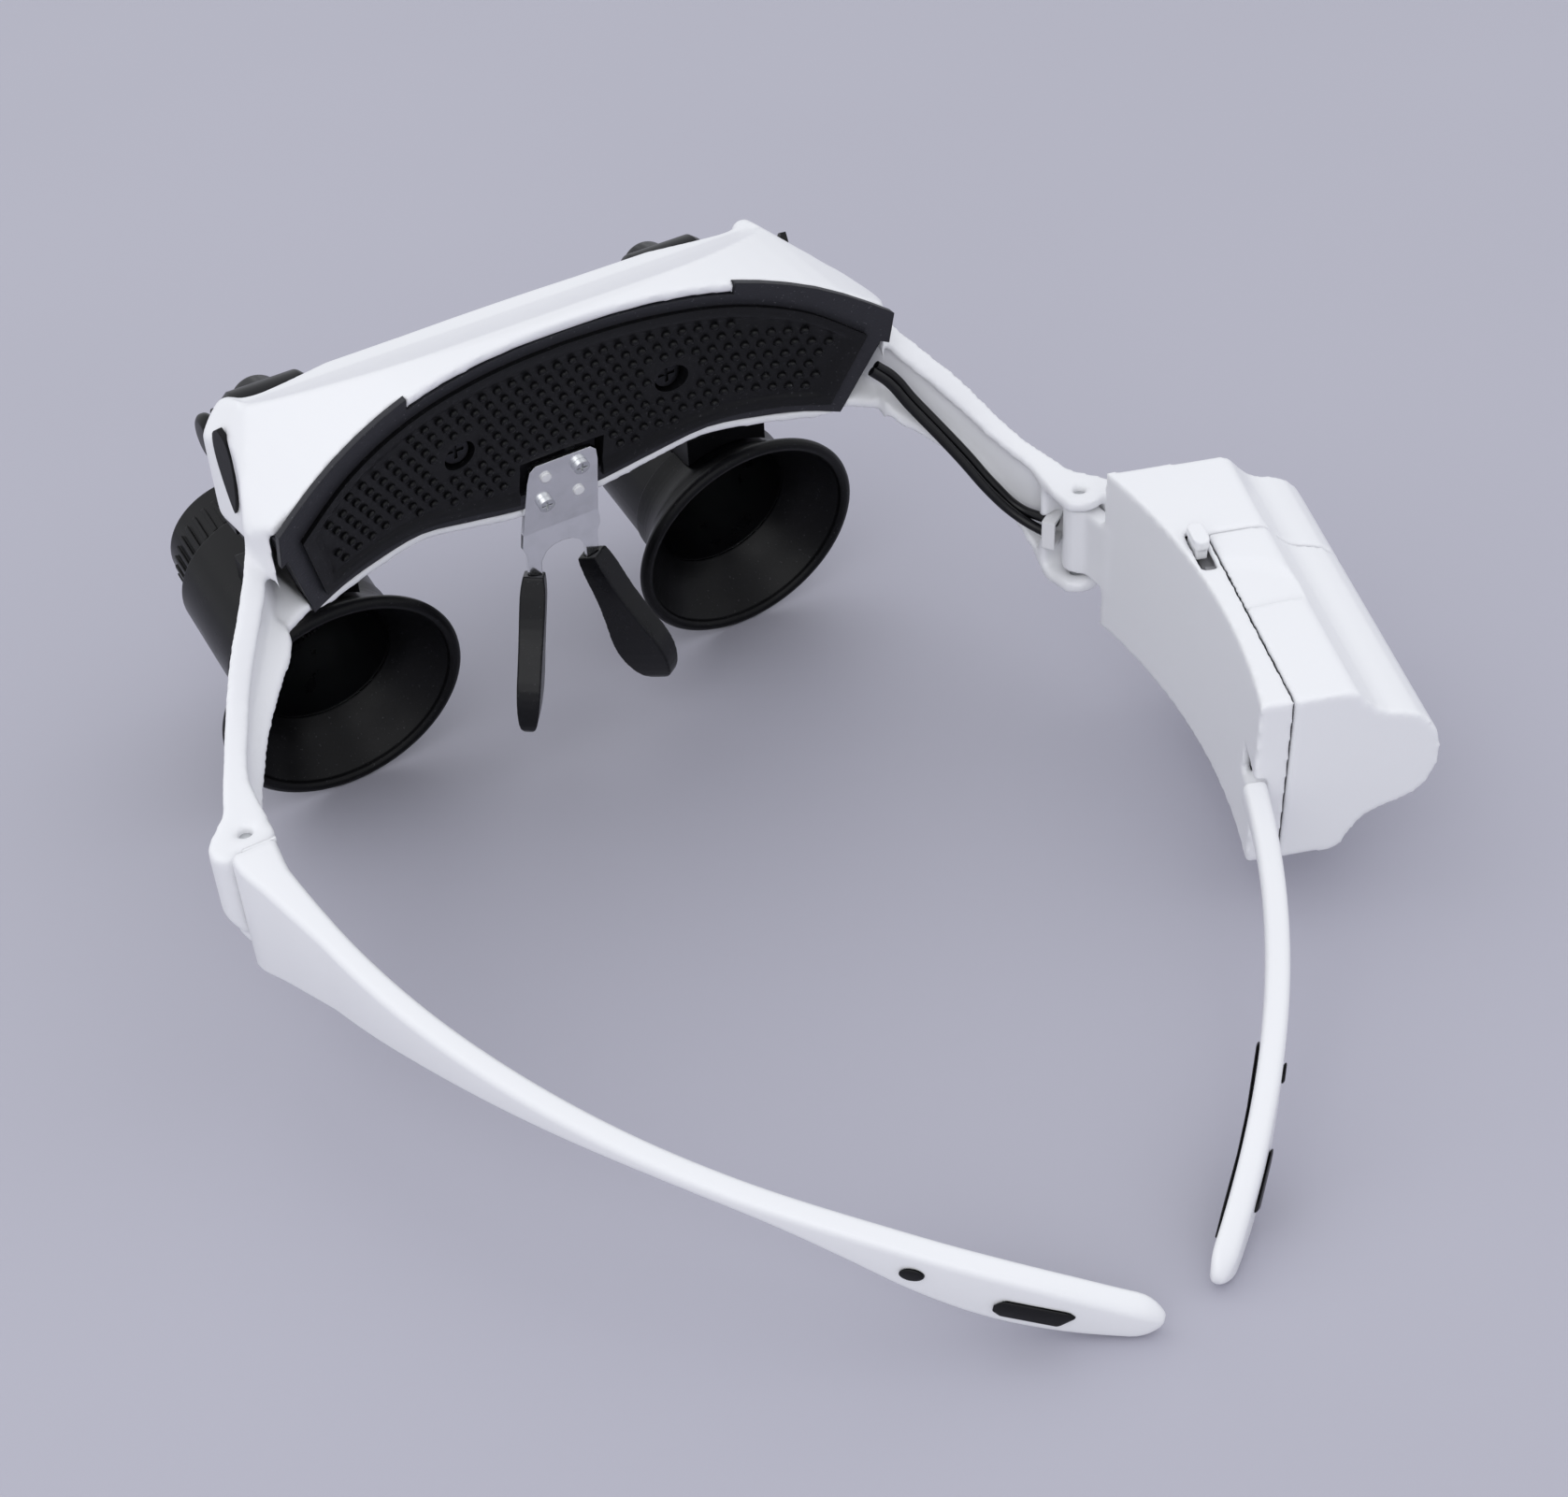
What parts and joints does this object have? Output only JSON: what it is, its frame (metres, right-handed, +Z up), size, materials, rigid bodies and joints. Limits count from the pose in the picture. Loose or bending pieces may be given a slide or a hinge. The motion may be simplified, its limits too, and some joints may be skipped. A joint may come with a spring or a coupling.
{
  "type": "lighted headband magnifier",
  "caption": "Spectacle-style lighted magnifier: white brow frame with folding temples, sliding loupes with eye cups, tilting lamps and a battery box.",
  "frame": {"origin": "middle of the hinge line, dropped to the table that the object stands on", "axes": "+X to the wearer's left, +Y to the back of the head, +Z up; the worn frame leans 7.72 degrees back about X"},
  "size_m": [0.1786, 0.2171, 0.0837],
  "materials": {
    "white_shell": "semi-gloss moulded",
    "white_box": "satin moulded",
    "charcoal": "fine-grained",
    "pad_rubber": "matt",
    "dark_screw": "black oxide",
    "nickel_steel": "bright rolled",
    "bright_screw": "nickel plated",
    "white_stud": "satin",
    "silicone": "satin",
    "black_trim": "satin",
    "black_plastic": "satin",
    "black_tube": "semi-gloss",
    "cup_rubber": "satin",
    "lens_glass": "polished",
    "clear_lens": "polished",
    "pin_steel": "turned",
    "cell_jacket": "printed sleeve, plain",
    "contact_metal": "nickel on spring brass",
    "dark_switch": "satin",
    "wire_jacket": "glossy sleeve"
  },
  "bodies": {
    "brow": {"front_frame": "white_shell", "pad_carrier": "charcoal", "forehead_pad": "pad_rubber", "pad_screws": "dark_screw", "nose_plate": "nickel_steel", "nose_screws": "bright_screw", "nose_studs": "white_stud", "nose_pad_left": "silicone", "nose_pad_right": "silicone", "corner_inserts": "black_trim", "front_fascia": "black_plastic", "slide_rail": "black_plastic", "hinge_pins": "pin_steel", "lead": "wire_jacket", "lead_clip": "white_stud"},
    "left_loupe": {"carriage_left": "black_plastic", "loupe_screws_left": "bright_screw", "loupe_tube_left": "black_tube", "eye_cup_left": "cup_rubber", "eye_lens_left": "lens_glass"},
    "right_loupe": {"carriage_right": "black_plastic", "loupe_screws_right": "bright_screw", "loupe_tube_right": "black_tube", "eye_cup_right": "cup_rubber", "eye_lens_right": "lens_glass"},
    "left_barrel": {"lens_barrel_left": "black_tube", "front_lens_left": "lens_glass"},
    "right_barrel": {"lens_barrel_right": "black_tube", "front_lens_right": "lens_glass"},
    "left_lamp": {"lamp_left": "black_plastic", "lamp_lens_left": "clear_lens"},
    "right_lamp": {"lamp_right": "black_plastic", "lamp_lens_right": "clear_lens"},
    "left_temple": {"temple_left": "white_shell", "grips_left": "black_trim"},
    "right_temple": {"battery_box": "white_box", "temple_right": "white_shell", "grips_right": "black_trim", "cells": "cell_jacket", "cell_contacts": "contact_metal", "switch_body": "dark_switch"},
    "cover": {"battery_cover": "white_box"},
    "switch": {"switch_knob": "white_box"}
  },
  "joints": [
    {"name": "left_temple_hinge", "type": "hinge", "parent": "brow", "child": "left_temple", "pos_m": [0.071, -0.00013, 0.03012], "axis": [0, 0.1343, 0.9909], "range_deg": [0, 55]},
    {"name": "right_temple_hinge", "type": "hinge", "parent": "brow", "child": "right_temple", "pos_m": [-0.071, -0.00013, 0.03012], "axis": [0, 0.1343, 0.9909], "range_deg": [-55, 0]},
    {"name": "left_loupe_slide", "type": "slide", "parent": "brow", "child": "left_loupe", "axis": [-1, 0, 0], "range_m": [0, 0.009]},
    {"name": "right_loupe_slide", "type": "slide", "parent": "brow", "child": "right_loupe", "axis": [1, 0, 0], "range_m": [0, 0.009]},
    {"name": "left_barrel_turn", "type": "hinge", "parent": "left_loupe", "child": "left_barrel", "pos_m": [0.038, -0.08667, 0.0309], "axis": [0, -0.9526, 0.3044], "range_deg": [0, 90]},
    {"name": "right_barrel_turn", "type": "hinge", "parent": "right_loupe", "child": "right_barrel", "pos_m": [-0.038, -0.08667, 0.0309], "axis": [0, -0.9526, 0.3044], "range_deg": [0, 90]},
    {"name": "left_lamp_tilt", "type": "hinge", "parent": "brow", "child": "left_lamp", "pos_m": [0.035, -0.06287, 0.06607], "axis": [1, 0, 0], "range_deg": [-20, 12]},
    {"name": "right_lamp_tilt", "type": "hinge", "parent": "brow", "child": "right_lamp", "pos_m": [-0.035, -0.06287, 0.06607], "axis": [1, 0, 0], "range_deg": [-20, 12]},
    {"name": "switch_slide", "type": "slide", "parent": "right_temple", "child": "switch", "axis": [0.3535, 0.927, -0.1257], "range_m": [0, 0.003]},
    {"name": "cover_slide", "type": "slide", "parent": "right_temple", "child": "cover", "axis": [0.3535, 0.927, -0.1257], "range_m": [0, 0.048]}
  ]
}
